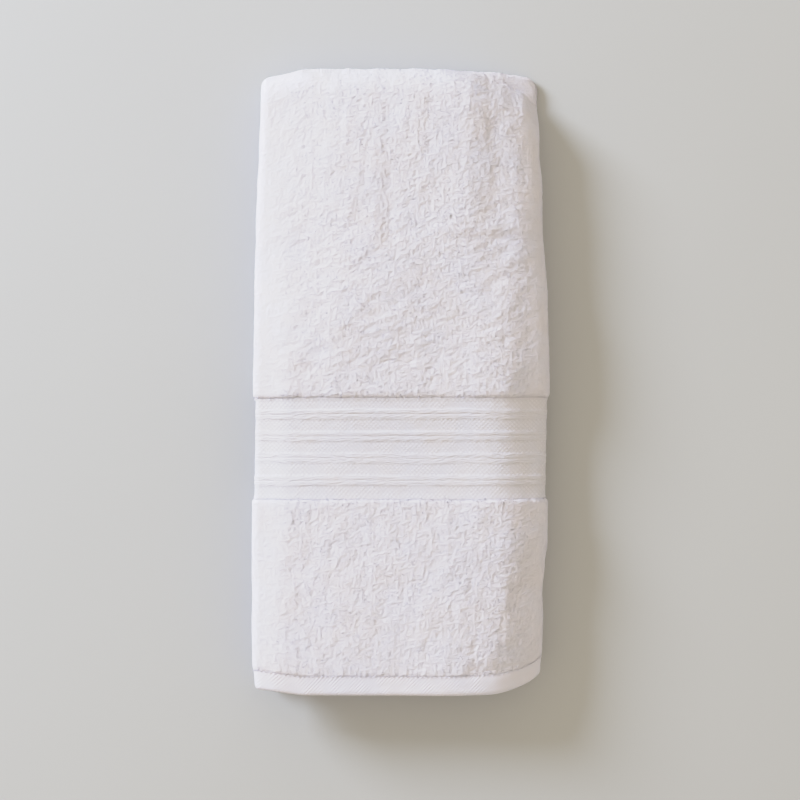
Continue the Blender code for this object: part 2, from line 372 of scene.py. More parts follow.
def folded_stack(section, along):
    """(points of the cloth's middle in the row frame, share of the stack's height that stays there)."""
    from_hem, angle = halves(along)
    left, right = fold_lines(from_hem, angle)
    x, level, flap_draw = cross_section(section, left, right)
    z = HALF_HEIGHT + level * np.cos(angle)
    y = from_hem + level * np.sin(angle) + draw_back(x, left, right, from_hem, flap_draw, angle)
    lowest = HALF_HEIGHT - FACE_LEVEL
    press = fall(x, from_hem) / (2 * FACE_LEVEL)
    z = z - settle(x, z, left, right, from_hem) - press * (z - lowest)
    stays = slumped(x, y, right, from_hem)
    z = SLUMP_BASE + (z - SLUMP_BASE) * stays
    middle_x = (OUTLINE[:, 1].min() + OUTLINE[:, 2].max()) / 2
    return np.stack([x - middle_x, y - FOLDED_LENGTH / 2, z], axis=-1), stays * (1 - press)


def squashed(stays):
    """Share of the pile's height that is left where hardly any of the stack's height stays."""
    return np.clip(stays / SQUASHED_BELOW, MOST_SQUASHED, 1)


def folded(section, along):
    """The middle of the cloth at these places, as points in the row frame, in millimetres."""
    return folded_stack(section, along)[0]


def unit(vectors):
    return vectors / np.maximum(np.linalg.norm(vectors, axis=-1, keepdims=True), 1e-9)


def lie(section, along):
    """(point, direction across, direction along, normal) of the cloth's middle; the normal is the face's."""
    small_turn, small_step = 0.01, 0.4
    across = folded(section + small_turn, along) - folded(section - small_turn, along)
    down = folded(section, along + small_step) - folded(section, along - small_step)
    across, down = unit(across), unit(down)
    normal = unit(np.cross(across, down))
    return folded(section, along), across, down, normal


# ---- meshes ----


def lattice_noise(x, y, cell_x, cell_y, seed):
    """Smooth noise from -1 to 1, its lattice cells of this size."""
    values = np.random.default_rng(seed).uniform(-1, 1, (256, 256))
    u, v = np.asarray(x) / cell_x, np.asarray(y) / cell_y
    column, row = np.floor(u).astype(int), np.floor(v).astype(int)
    s, t = ease(u - column), ease(v - row)
    column, row = column % 255, row % 255
    low = values[row, column] * (1 - s) + values[row, column + 1] * s
    high = values[row + 1, column] * (1 - s) + values[row + 1, column + 1] * s
    return low * (1 - t) + high * t


def new_mesh_object(name, points, faces, materials):
    """An object from points in millimetres and a list of face arrays, each of one number of corners."""
    mesh = bpy.data.meshes.new(name)
    counts = np.concatenate([np.full(len(f), f.shape[1]) for f in faces])
    corners = np.concatenate([f.ravel() for f in faces])
    mesh.vertices.add(len(points))
    mesh.vertices.foreach_set("co", (points * MM).astype(np.float32).ravel())
    mesh.loops.add(len(corners))
    mesh.loops.foreach_set("vertex_index", corners.astype(np.int32))
    mesh.polygons.add(len(counts))
    mesh.polygons.foreach_set("loop_start", np.concatenate([[0], np.cumsum(counts)[:-1]]).astype(np.int32))
    mesh.update(calc_edges=True)
    mesh.shade_smooth()
    for material in materials:
        mesh.materials.append(material)
    piece = bpy.data.objects.new(name, mesh)
    bpy.context.scene.collection.objects.link(piece)
    return piece


def give_uv(piece, name, uv):
    """One (u, v) for each corner of the mesh."""
    layer = piece.data.uv_layers.new(name=name)
    layer.uv.foreach_set("vector", uv.astype(np.float32).ravel())


def quads(a, b, c, d):
    """Faces from four arrays of point numbers."""
    return np.stack([a.ravel(), b.ravel(), c.ravel(), d.ravel()], axis=1)


# ---- the cloth ----

# Shares of a cord's width at which it has a line of points
CORD_ROWS = [0, 0.06, 0.2, 0.4, 0.6, 0.8, 0.94]

# A flap's width, near enough for placing its side hem
HEMMED_FLAP = 150

# Share of its thickness that cloth keeps where the stack is pressed flat
PRESSED_SHARE = 0.1


def band_rows(along_start, fine):
    """Lines of points over the band, close together on its cords; fine is False on the side underneath."""
    cord = RIB_WIDTH / 2
    steps = CORD_ROWS if fine else CORD_ROWS[::3]
    rows = [np.linspace(BAND_START, FIRST_RIB, 4, endpoint=False)]
    for rib in range(RIB_COUNT):
        start = FIRST_RIB + rib * RIB_PITCH
        rows += [start + cord * (k + np.array(steps)) for k in range(2)]
        end = min(start + RIB_PITCH, BAND_END)
        rows.append(np.linspace(start + RIB_WIDTH, end, 5 if fine else 3, endpoint=False))
    rows = np.concatenate(rows)
    return rows if fine else along_start + BAND_END - rows[::-1]


def rows_along():
    """Distances from the upper hem at which the cloth has a line of points, close together where it shows."""

    def even(a, b, step):
        return np.linspace(a, b, round((b - a) / step), endpoint=False)

    return np.concatenate(
        [
            even(0, HEM_WIDTH, 0.6),
            even(HEM_WIDTH, BAND_START, 4.0),
            band_rows(0, True),
            even(BAND_END, TURN_START, 4.0),
            even(TURN_START, TURN_END, 3.0),
            even(TURN_END, LOWER_END - BAND_END, 5.0),
            band_rows(LOWER_END - BAND_END, False),
            even(LOWER_END - BAND_START, LOWER_END - HEM_WIDTH, 5.0),
            even(LOWER_END - HEM_WIDTH, LOWER_END, 1.1),
            [LOWER_END],
        ]
    )


def columns_across():
    """Sections at which the cloth has a line of points along it."""
    hem = SIDE_HEM_WIDTH / HEMMED_FLAP
    inner = np.concatenate([[0, hem * 0.9, hem], np.linspace(hem, 1, 7)[1:-1]])
    left = np.linspace(1, 2, 12, endpoint=False)
    face = np.linspace(2, 3, 84, endpoint=False)
    right = np.linspace(3, 4, 16, endpoint=False)
    return np.concatenate([inner, left, face, right, 5 - inner[::-1]])


def on_band(from_hem):
    return (from_hem > BAND_START) & (from_hem < BAND_END)


def is_pile(from_hem):
    return (from_hem > HEM_WIDTH) & ~on_band(from_hem)


def woven_thickness(from_hem, worn):
    """Thickness of the flat woven parts: ribs of two cords in the band, and the hem with its seam."""
    from_rib = (from_hem - FIRST_RIB) % RIB_PITCH
    rib_number = np.floor((from_hem - FIRST_RIB) / RIB_PITCH)
    real_rib = (rib_number >= 0) & (rib_number < RIB_COUNT)
    cord = RIB_WIDTH / 2
    across_cord = (from_rib % cord) / cord * 2 - 1
    on_rib = real_rib & (from_rib < RIB_WIDTH)
    height = np.where(from_rib < cord, LOWER_CORD_HEIGHT, UPPER_CORD_HEIGHT) * worn
    band = BAND_THICK + on_rib * 2 * height * np.maximum(0, 1 - across_cord**2) ** 0.5
    nose = np.sqrt(1 - (1 - np.clip(from_hem / HEM_NOSE_LENGTH, 0, 1)) ** 2)
    seam = ease((HEM_WIDTH - from_hem) / SEAM_WIDTH)
    hem = HEM_NOSE_THICK + (HEM_THICK - HEM_NOSE_THICK) * nose
    hem = SEAM_THICK + (hem - SEAM_THICK) * seam
    return np.where(on_band(from_hem), band, hem)


def flat_width(section):
    """Distance across the flat cloth, in millimetres, at the nominal fold lines."""
    marks = [0, FLAP_WIDTH, FACE_END - FACE_WIDTH, FACE_END, TOWEL_WIDTH - FLAP_WIDTH, TOWEL_WIDTH]
    return np.interp(section, [0, 1, 2, 3, 4, 5], marks)


def band_wander(section, from_hem):
    """How far the band's lines stray from straight, in millimetres."""
    inside = ease(np.minimum(from_hem - BAND_START, BAND_END - from_hem) / 6)
    width = flat_width(section)
    slow = 0.4 * lattice_noise(width, from_hem, 22, 16, 51)
    return inside * (slow + 0.15 * lattice_noise(width, from_hem, 6, 5, 52))


def cord_wear(section, from_hem):
    """How high the band's cords stand along their length, as a share of their usual height."""
    rib_number = np.floor((from_hem - FIRST_RIB) / RIB_PITCH * 2)
    return 0.8 + 0.45 * lattice_noise(flat_width(section), 7 * rib_number, 6, 1, 53)


def make_cloth(materials):
    """The sheet, both faces and all four edges."""
    along, section = np.meshgrid(rows_along(), columns_across(), indexing="ij")
    from_hem, angle = halves(along)
    side = np.where(angle > pi / 2, -1, 1)
    point, across, down, normal = lie(section, along + side * band_wander(section, from_hem))
    turn = np.clip(section, 1, 4) % 1 * ((section < 2) | (section > 3))
    crease = 1 - (1 - CREASE_SHARE) * np.sin(pi * turn)
    shows = (section >= 1) & (section <= 4)
    pile = is_pile(from_hem)
    ground = np.where(angle > pi / 2, UNDER_OFFSET, GROUND_OFFSET)
    flat = woven_thickness(from_hem, cord_wear(section, from_hem)) / 2
    stays = folded_stack(section, along)[1]
    squeezed = PRESSED_SHARE + (1 - PRESSED_SHARE) * stays
    back = np.where(pile, PILE_THICK / 2 * crease * squeezed, flat)
    front = np.where(pile, np.where(shows, ground, PILE_THICK / 2 * squeezed), flat)
    to_edge = np.minimum(section, 5 - section) * HEMMED_FLAP
    side_hem = to_edge < SIDE_HEM_WIDTH
    front = np.where(side_hem, np.minimum(front, HEM_THICK / 2), front) * squashed(stays)
    back = np.where(side_hem, np.minimum(back, HEM_THICK / 2), back)
    top = point + normal * front[..., None]
    bottom = point - normal * back[..., None]
    rows, columns = section.shape
    number = np.arange(rows * columns).reshape(rows, columns)
    under = number + rows * columns
    faces = [
        quads(number[:-1, :-1], number[:-1, 1:], number[1:, 1:], number[1:, :-1]),
        quads(under[:-1, :-1], under[1:, :-1], under[1:, 1:], under[:-1, 1:]),
        quads(number[0, :-1], under[0, :-1], under[0, 1:], number[0, 1:]),
        quads(number[-1, :-1], number[-1, 1:], under[-1, 1:], under[-1, :-1]),
        quads(number[:-1, 0], number[1:, 0], under[1:, 0], under[:-1, 0]),
        quads(number[:-1, -1], under[:-1, -1], under[1:, -1], number[1:, -1]),
    ]
    points = np.concatenate([top.reshape(-1, 3), bottom.reshape(-1, 3)])
    points[:, 2] = np.maximum(points[:, 2], 0)
    cloth = new_mesh_object("towel_cloth", points, faces, materials)
    corners = np.concatenate([f.ravel() for f in faces])
    along_of = np.tile(along.ravel(), 2)
    width_of = np.tile(flat_width(section).ravel(), 2)
    give_uv(cloth, "cloth", np.stack([width_of[corners], along_of[corners]], axis=1) * MM)
    centre = along_of[corners].reshape(-1, 4).mean(axis=1)
    hem_of = halves(centre)[0]
    slots = np.where(is_pile(hem_of), 0, np.where(on_band(hem_of), 1, 2))
    cloth.data.polygons.foreach_set("material_index", slots.astype(np.int32))
    return cloth


# ---- the pile: a soft surface with loops of yarn in it ----

# Distance between the points of the soft surface, and half the width of a gap between tufts
BULK_STEP = 1.55
GAP_WIDTH = 0.9

# Two pieces of pile meet on the turn, just under the towel's outermost line
TURN_JOIN = TURN_START + 0.57 * TURN_LENGTH

# How far the surface of one piece of pile runs on under the next, and how steeply it sinks there
LAP = 4
LAP_SINK = 0.2

# How far in from the side folds the pile is smoother, and how much of its relief it loses there
LEFT_CALM = 26
RIGHT_CALM = 8
LOST_AT_LEFT = 0.7
LOST_AT_RIGHT = 0.5

# The pile lies in ripples across the towel round this distance from the hem, and in ribs along it elsewhere
RIPPLE_MIDDLE = 250
RIPPLE_REACH = 72
RIPPLE_FADE = 32

# Heights of the pile's relief, how much higher the ripples and lower the ribs are where it lies in ripples,
# and the depth of the gaps between tufts
BROAD_RELIEF = 0.33
RIPPLE_RELIEF = 0.11
RIPPLES_HIGHER = 0.23
RIB_RELIEF = 0.24
RIBS_LOWER = 0.16
FINE_RELIEF = 0.04
GAP_DEPTH = 0.22
GAPS_DEEPER = 0.04

# How far from the hem, the band's lower edge and its upper edge the pile has its whole height; how much
# nearer that is at the left of the upper edge, and how unevenly it runs there
HEM_SHOULDER = 1.3
LOWER_SHOULDER = 2.2
UPPER_SHOULDER = 3.6
NEARER_AT_LEFT = 2.2
SHOULDER_UNEVEN = 0.7
SHOULDER_BEND = 1.7


def section_at(across):
    """The section at a distance round the outside of the folded cloth, from the start of the left fold."""
    return np.interp(across, [0, OUTER_LEFT, OUTER_LEFT + FACE_WIDTH, GIRTH], [1, 2, 3, 4])


def rippled(from_hem):
    """1 where the pile lies in ripples across the towel, 0 where it lies in ribs along it."""
    return ease((RIPPLE_REACH - np.abs(from_hem - RIPPLE_MIDDLE)) / RIPPLE_FADE)


def line_gaps(x, y, spacing, length, share, seed):
    """0 to 1: narrow gaps that run along y, this far apart, open over this share of their length."""
    wander = x + 0.35 * spacing * lattice_noise(x, y, 2.2 * spacing, 1.1 * length, seed)
    number = np.floor(wander / spacing)
    from_line = wander - (number + 0.5) * spacing
    open_here = ease((lattice_noise(number * 7, y, 1, length, seed + 1) - 1 + 2 * share) / 0.4)
    return np.exp(-((from_line / GAP_WIDTH) ** 2)) * open_here


def pile_gaps(across, along):
    """0 to 1: gaps between the tufts, along the warp and the weft, and closer above the hem and the band."""
    from_hem = halves(along)[0]
    near_hem = ease(1 - (from_hem - HEM_WIDTH) / 8)
    in_ripples = rippled(from_hem)
    warp = (1 - 0.7 * in_ripples) * line_gaps(across, along, 6.0, 7, 0.5, 21)
    weft = (0.5 + 0.5 * in_ripples) * line_gaps(along - 0.3 * across, across, 5.5, 6, 0.45, 31)
    hem = 2.4 * near_hem * line_gaps(across, along, 3.3, 12, 0.75, 41)
    near_band = ease(1 - np.abs(from_hem - BAND_END) / 4.5)
    tufted = near_band * line_gaps(across, along, 2.7, 5, 0.6, 43)
    return np.maximum(np.maximum(warp, weft), np.maximum(hem, tufted))


def calm(across):
    """1 on the face, less by both side folds, where the pile is smoother."""
    by_left = ease((OUTER_LEFT + LEFT_CALM - across) / LEFT_CALM)
    by_right = ease((across - OUTER_LEFT - FACE_WIDTH + RIGHT_CALM) / RIGHT_CALM)
    return 1 - LOST_AT_LEFT * by_left - LOST_AT_RIGHT * by_right


def pile_relief(across, along):
    """Height of the pile's surface over its usual level, in millimetres."""
    from_hem = halves(along)[0]
    weft = rippled(from_hem)
    broad = lattice_noise(across, along, 9, 11, 5)
    ripples = lattice_noise(across, from_hem - 0.3 * across, 8, 3.2, 7)
    ribs = lattice_noise(across, along, 3.2, 10, 8)
    fine = lattice_noise(across, along, 2.6, 3.0, 6)
    uneven = BROAD_RELIEF * broad + (RIPPLE_RELIEF + RIPPLES_HIGHER * weft) * ripples
    uneven = uneven + (RIB_RELIEF - RIBS_LOWER * weft) * ribs + FINE_RELIEF * fine
    return calm(across) * (uneven - (GAP_DEPTH + GAPS_DEEPER * weft) * pile_gaps(across, along))


def shoulder(across, along):
    """0 at the edge of the band or the hem, 1 where the pile has its whole height."""
    from_hem = halves(along)[0]
    more_at_left = ease(1 - (across - OUTER_LEFT) / 25)
    uneven = lattice_noise(across, along * 0, 3.5, 1, 48)
    above_band = UPPER_SHOULDER - NEARER_AT_LEFT * more_at_left + SHOULDER_UNEVEN * uneven
    edges = [(HEM_WIDTH, HEM_SHOULDER), (BAND_START, LOWER_SHOULDER), (BAND_END, above_band)]
    height = 1
    for edge, width in edges:
        height = height * (1 - (1 - np.clip(np.abs(from_hem - edge) / width, 0, 1)) ** SHOULDER_BEND)
    return height


def pile_level(across, along, usual):
    """Distance of the pile's surface from the cloth's middle, rounded off beside the band and the hem."""
    low = np.where(halves(along)[0] < HEM_WIDTH + 4, SEAM_THICK / 2 + 0.1, BAND_THICK / 2 - 0.1)
    return low + (usual + pile_relief(across, along) - low) * shoulder(across, along)


def is_woven_edge(along):
    """True where the pile ends at the band or the hem, rather than going on in the next piece."""
    from_hem = halves(along)[0]
    return min(abs(from_hem - edge) for edge in (HEM_WIDTH, BAND_START, BAND_END)) < 0.1


def pile_surface(first, last):
    """(points, faces, (across, along) of each point) of the pile's soft surface between two distances."""
    inner = np.linspace(first, last, round((last - first) / BULK_STEP) + 1)[1:-1]
    before = [first, first + 0.3] if is_woven_edge(first) else [first - LAP, first]
    after = [last - 0.3, last] if is_woven_edge(last) else [last, last + LAP]
    rows = np.concatenate([before, inner, after])
    columns = np.linspace(0, GIRTH, round(GIRTH / BULK_STEP) + 1)
    along, across = np.meshgrid(rows, columns, indexing="ij")
    point, u_dir, v_dir, normal = lie(section_at(across), along)
    level = pile_level(across, along, BULK_OFFSET) * squashed(folded_stack(section_at(across), along)[1])
    beyond = np.maximum(np.maximum(first - along, along - last), 0)
    level = level - LAP_SINK * beyond
    points = point + normal * level[..., None]
    number = np.arange(along.size).reshape(along.shape)
    faces = quads(number[:-1, :-1], number[:-1, 1:], number[1:, 1:], number[1:, :-1])
    return points.reshape(-1, 3), faces, np.stack([across.ravel(), along.ravel()], axis=1)


# A loop of yarn: the shares of its length at which it has points, the sides of its tube, and how deep it
# has its root
LOOP_TIMES = np.array([0, 0.3, 0.7, 1])
LOOP_SIDES = 3
LOOP_ROOT = 0.35
RINGS = len(LOOP_TIMES) - 2
POINTS_PER_LOOP = 2 + RINGS * LOOP_SIDES

# Least and most of its height, of its turn in radians, of its radius and of its yarn's
LOOP_HEIGHT = (0.0, 0.22)
LOOP_TURN = (1.6, 4.2)
LOOP_RADIUS = (0.8, 1.25)
YARN_RADIUS = (0.26, 0.36)

# How far it leans from a gap, and how much of the way back its turn is centred on its root
LEAN_FROM_GAP = 1.2
LOOP_CENTRING = 0.6

# How far loops sink in the soft surface, more where the pile is calm, and less towards the right
LOOP_SINK = 0.28
CALM_SINK = 0.1
ROUGHER_RIGHT = 0.03
ROUGHER_FROM = OUTER_LEFT + 105
ROUGHER_WIDTH = 40


def tube_points(line, thick, sideways):
    """Points of thin tubes along lines of points (time, tube, xyz), each closed to a point at both ends."""
    tangent = unit(line[2:] - line[:-2])
    out = unit(np.cross(tangent, sideways))
    sideways = unit(np.cross(out, tangent))
    rings = []
    for k in range(LOOP_SIDES):
        angle = 2 * pi * k / LOOP_SIDES
        rings.append(line[1:-1] + thick[:, None] * (out * np.cos(angle) + sideways * np.sin(angle)))
    rings = np.stack(rings, axis=2).transpose(1, 0, 2, 3).reshape(line.shape[1], -1, 3)
    ends = line[[0, -1]].transpose(1, 0, 2)
    return np.concatenate([ends[:, :1], rings, ends[:, 1:]], axis=1).reshape(-1, 3)


def tube_faces(count):
    """(cone faces, wall faces, one (around, time) for each corner of a cone, and of a wall) of such tubes."""
    cones, walls, cone_uv, wall_uv = [], [], [], []
    last_ring = 1 + (RINGS - 1) * LOOP_SIDES
    for k in range(LOOP_SIDES):
        after = (k + 1) % LOOP_SIDES
        left, middle, right = k / LOOP_SIDES, (k + 0.5) / LOOP_SIDES, (k + 1) / LOOP_SIDES
        cones.append((0, 1 + after, 1 + k))
        cone_uv.append(((middle, 0), (right, LOOP_TIMES[1]), (left, LOOP_TIMES[1])))
        cones.append((POINTS_PER_LOOP - 1, last_ring + k, last_ring + after))
        cone_uv.append(((middle, 1), (left, LOOP_TIMES[-2]), (right, LOOP_TIMES[-2])))
        for ring in range(RINGS - 1):
            a, b = 1 + ring * LOOP_SIDES + k, 1 + ring * LOOP_SIDES + after
            walls.append((a, b, b + LOOP_SIDES, a + LOOP_SIDES))
            low, high = LOOP_TIMES[ring + 1], LOOP_TIMES[ring + 2]
            wall_uv.append(((left, low), (right, low), (right, high), (left, high)))
    first = (np.arange(count) * POINTS_PER_LOOP)[:, None, None]
    cones = (np.array(cones)[None] + first).reshape(-1, 3)
    walls = (np.array(walls)[None] + first).reshape(-1, 4)
    return cones, walls, np.array(cone_uv).reshape(-1, 2), np.array(wall_uv).reshape(-1, 2)


def tube_maps(count, corner_uv, share):
    """(map for baking, the yarn's map) of the corners; each tube has its own square in this share of it."""
    columns = int(np.ceil(np.sqrt(count * share)))
    rows = int(np.ceil(count / columns))
    number = np.repeat(np.arange(count), len(corner_uv))
    corner = np.tile(corner_uv, (count, 1))
    inside = 0.1 + 0.8 * corner
    u = (number % columns + inside[:, 0]) / columns * share
    v = (number // columns + inside[:, 1]) / rows
    return np.stack([u, v], axis=1), np.stack([number + 0.9 * corner[:, 0], corner[:, 1] * 3], axis=1)


def tubes(roots, directions, offsets, thick, share):
    """(points, faces, maps for baking, maps of the yarn) of tubes, at offsets in three directions."""
    line = roots
    for direction, offset in zip(directions, offsets):
        line = line + offset[..., None] * direction
    points = tube_points(line, thick, np.broadcast_to(directions[2], line[1:-1].shape))
    cones, walls, cone_uv, wall_uv = tube_faces(len(thick))
    maps = [tube_maps(len(thick), corner_uv, share) for corner_uv in (cone_uv, wall_uv)]
    return points, [cones, walls], [baked for baked, yarn in maps], [yarn for baked, yarn in maps]


def yarn_piece(name, points, faces, baked, yarn, materials):
    """A piece with a map for baking and the yarn's own map, no part of it under the table's top."""
    points[:, 2] = np.maximum(points[:, 2], 0.05)
    piece = new_mesh_object(name, points, faces, materials)
    give_uv(piece, "OFBake", np.concatenate(baked))
    give_uv(piece, "yarn", np.concatenate(yarn))
    return piece


def loop_places(first, last, line_pitch, row_pitch, rng):
    """(across, along) of the loops' roots: warp lines across the face and its folds, rows along it."""
    lines, rows = round(GIRTH / line_pitch), round((last - first) / row_pitch)
    line, row = np.meshgrid(np.arange(lines), np.arange(rows))
    across = (line + 0.5 + rng.normal(0, 0.2, line.shape)) * GIRTH / lines
    along = first + (row + 0.25 + 0.5 * (line % 2) + rng.normal(0, 0.2, line.shape)) * (last - first) / rows
    if is_woven_edge(first):
        along = np.maximum(along, first + 0.7)
    if is_woven_edge(last):
        along = np.minimum(along, last - 0.7)
    return across.ravel(), along.ravel()


def overhang(across, along):
    """How far the loops beside the band's upper edge lean out over it, most near the left fold."""
    from_edge = np.abs(along - BAND_END)
    more_at_left = ease(1 - (across - OUTER_LEFT) / 45)
    uneven = 0.5 + 0.5 * lattice_noise(across, along * 0, 5, 1, 47)
    return ease(1 - from_edge / 2.6) * (0.3 * uneven + 0.9 * more_at_left - 0.3)


def make_pile(name, first, last, line_pitch, row_pitch, size, rng, materials, with_surface):
    """Loops of yarn that curl over the pile's surface, and part at the gaps between tufts."""
    across, along = loop_places(first, last, line_pitch, row_pitch, rng)
    count = len(across)
    point, u_dir, v_dir, normal = lie(section_at(across), along)
    level = pile_level(across, along, BULK_OFFSET if with_surface else UNDER_OFFSET)
    rougher = ROUGHER_RIGHT * ease((across - ROUGHER_FROM) / ROUGHER_WIDTH)
    level = level - LOOP_SINK + rougher - CALM_SINK * (1 - calm(across))
    level = level * squashed(folded_stack(section_at(across), along)[1])
    root = point + normal * level[:, None]
    gap_u = pile_gaps(across - 0.5, along) - pile_gaps(across + 0.5, along)
    gap_v = pile_gaps(across, along - 0.5) - pile_gaps(across, along + 0.5)
    lean_u = LEAN_FROM_GAP * gap_u + rng.normal(0, 0.3, count)
    lean_v = LEAN_FROM_GAP * gap_v + rng.normal(0, 0.3, count)
    lean_v = lean_v - overhang(across, along)
    height = size * rng.uniform(*LOOP_HEIGHT, count) * calm(across)
    start = rng.uniform(0, 2 * pi, count)
    sweep = rng.choice([-1, 1], count) * rng.uniform(*LOOP_TURN, count)
    radius = size * rng.uniform(*LOOP_RADIUS, count)
    thick = size * rng.uniform(*YARN_RADIUS, count)
    t = LOOP_TIMES[:, None]
    rise = np.sin(pi * t)
    angle = start + sweep * t
    middle = start + sweep / 2
    u = radius * (np.cos(angle) - np.cos(middle) * LOOP_CENTRING) + lean_u * rise
    v = radius * (np.sin(angle) - np.sin(middle) * LOOP_CENTRING) + lean_v * rise
    h = -LOOP_ROOT * size + (height + LOOP_ROOT * size) * rise**0.7
    share = 0.5 if with_surface else 1.0
    points, faces, baked, yarn = tubes(root, (u_dir, v_dir, normal), (u, v, h), thick, share)
    loop_faces = sum(len(f) for f in faces)
    if with_surface:
        surface, surface_faces, place = pile_surface(first, last)
        corners = surface_faces.ravel()
        faces.append(surface_faces + len(points))
        points = np.concatenate([points, surface])
        flat = (place - place.min(axis=0)) / (place.max(axis=0) - place.min(axis=0))
        baked.append(np.stack([0.5 + 0.5 * flat[corners, 0], flat[corners, 1]], axis=1))
        yarn.append(place[corners])
    piece = yarn_piece(name, points, faces, baked, yarn, materials)
    slots = np.arange(len(piece.data.polygons)) >= loop_faces
    piece.data.polygons.foreach_set("material_index", slots.astype(np.int32))
    return piece


# ---- stitches ----

STITCH_PITCH = 3.0
STITCH_LENGTH = 2.5
STITCH_INSET = 0.35
THREAD_RADIUS = 0.24


def make_stitches(name, rng, material):
    """The thread that holds both turned hems, one stitch after another along the seams."""
    per_seam = round(GIRTH / STITCH_PITCH)
    count = 2 * per_seam
    across = np.tile((np.arange(per_seam) + 0.5) * GIRTH / per_seam, 2)
    seams = [HEM_WIDTH - STITCH_INSET, LOWER_END - HEM_WIDTH + STITCH_INSET]
    along = np.repeat(seams, per_seam) + rng.normal(0, 0.08, count)
    point, *directions = lie(section_at(across), along)
    t = LOOP_TIMES[:, None]
    u = STITCH_LENGTH * (t - 0.5)
    h = SEAM_THICK / 2 - 0.3 + 0.75 * np.sin(pi * t) ** 0.5
    v = rng.normal(0, 0.12, count) * (t - 0.5)
    thick = np.full(count, THREAD_RADIUS)
    return yarn_piece(name, *tubes(point, directions, (u, v, h), thick, 1.0), [material])


# ---- materials: node helpers ----

FLOAT = "NodeSocketFloat"
VECTOR = "NodeSocketVector"
COLOUR = "NodeSocketColor"


def put(tree, kind, inputs, **settings):
    """A new node; inputs gives a value or another node's output for each socket that it names."""
    made = tree.nodes.new(kind)
    for name, value in settings.items():
        setattr(made, name, value)
    for socket, value in inputs.items():
        if isinstance(value, bpy.types.NodeSocket):
            tree.links.new(value, made.inputs[socket])
        else:
            made.inputs[socket].default_value = value
    return made


def maths(tree, operation, *values):
    return put(tree, "ShaderNodeMath", dict(enumerate(values)), operation=operation).outputs[0]


def times(tree, product, *values):
    for value in values:
        product = maths(tree, "MULTIPLY", product, value)
    return product


def scaled(tree, vector, scale):
    return put(tree, "ShaderNodeVectorMath", {0: vector, "Scale": scale}, operation="SCALE").outputs[0]


def split(tree, place):
    """The x, y and z of a place."""
    return put(tree, "ShaderNodeSeparateXYZ", {"Vector": place}).outputs


def joined(tree, x, y):
    return put(tree, "ShaderNodeCombineXYZ", {0: x, 1: y}).outputs[0]


def mapped(tree, name):
    """The place on one of the mesh's maps."""
    return put(tree, "ShaderNodeUVMap", {}, uv_map=name).outputs[0]


def object_place(tree):
    return put(tree, "ShaderNodeTexCoord", {}).outputs["Object"]


def noise(tree, place, scale, detail=2.0):
    inputs = {"Vector": place, "Scale": scale, "Detail": detail, "Roughness": 0.5}
    return put(tree, "ShaderNodeTexNoise", inputs).outputs[0]


def eased(tree, value, start, end, before, after):
    """A value that goes from one number to another while the given one goes from start to end."""
    limits = {"Value": value, "From Min": start, "From Max": end, "To Min": before, "To Max": after}
    return put(tree, "ShaderNodeMapRange", limits).outputs[0]


def mixed(tree, factor, first, second, **settings):
    """A colour mixed from two."""
    inputs = {"Factor": factor, "A": first, "B": second}
    return put(tree, "ShaderNodeMix", inputs, data_type="RGBA", **settings).outputs["Result"]


def new_group(effect, inputs, output="Height", output_kind=FLOAT):
    """A node group named after the effect; its output is what effect(its tree, its inputs' sockets) gives."""
    tree = bpy.data.node_groups.new(effect.__name__, "ShaderNodeTree")
    for socket, kind in inputs.items():
        tree.interface.new_socket(name=socket, in_out="INPUT", socket_type=kind)
    tree.interface.new_socket(name=output, in_out="OUTPUT", socket_type=output_kind)
    given = tree.nodes.new("NodeGroupInput").outputs
    result = tree.nodes.new("NodeGroupOutput")
    tree.links.new(effect(tree, given), result.inputs[output])
    return tree


def use_group(tree, group, inputs):
    return put(tree, "ShaderNodeGroup", inputs, node_tree=group).outputs[0]


# ---- materials: effects that several of them share, each in a node group ----

LONG_ROWS_PER_MM = (0.24, 0.5, 1)
TALL_ROWS_PER_MM = (0.5, 0.22, 1)
ROWS_SLANT = -0.2
ROWS_BLEND = 0.15


def cotton_shade(tree, given):
    """White cotton's colour: patches a little warmer or cooler, and lighter or darker with the Thread value,
    which is a chance for each loop or stitch, or the height of a weave or of curls, where it paints shade
    into their low parts.
    """
    patch = eased(tree, noise(tree, object_place(tree), 45.0), 0.35, 0.65, 0.0, 1.0)
    tint = mixed(tree, patch, (1.0, 0.985, 0.962, 1), (0.985, 0.99, 1.0, 1))
    tinted = mixed(tree, 1.0, given["Cotton"], tint, blend_type="MULTIPLY")
    from_middle = maths(tree, "SUBTRACT", given["Thread"], 0.5)
    return scaled(tree, tinted, maths(tree, "MULTIPLY_ADD", from_middle, given["Spread"], 1.0))


def loose_fibres(tree, given):
    """Height of the fine lint on cotton."""
    return noise(tree, object_place(tree), given["Fineness"], 3.0)


def each_yarn(tree, given):
    """A chance value for each loop or stitch, from the yarn's own map."""
    number = maths(tree, "FLOOR", given["Around"])
    return put(tree, "ShaderNodeTexWhiteNoise", {"W": number}, noise_dimensions="1D").outputs[0]


def yarn_twist(tree, given):
    """Height of two plies twisted round each other, from the yarn's own map."""
    turned = maths(tree, "MULTIPLY_ADD", given["Along"], given["Turns per mm"], given["Around"])
    ply = maths(tree, "SINE", times(tree, turned, 4 * pi))
    return maths(tree, "MULTIPLY_ADD", ply, 0.5, 0.5)


def yarn_curls(tree, given):
    """Height of small curls of yarn that lie over each other, from a place in millimetres."""
    hills = noise(tree, given["Place"], given["Curls per mm"], 1.0)
    rings = maths(tree, "SINE", times(tree, hills, 26.0))
    round_yarn = maths(tree, "SQRT", maths(tree, "ABSOLUTE", rings))
    small = noise(tree, given["Place"], times(tree, given["Curls per mm"], 3.0))
    return maths(tree, "MULTIPLY_ADD", small, 0.8, round_yarn)


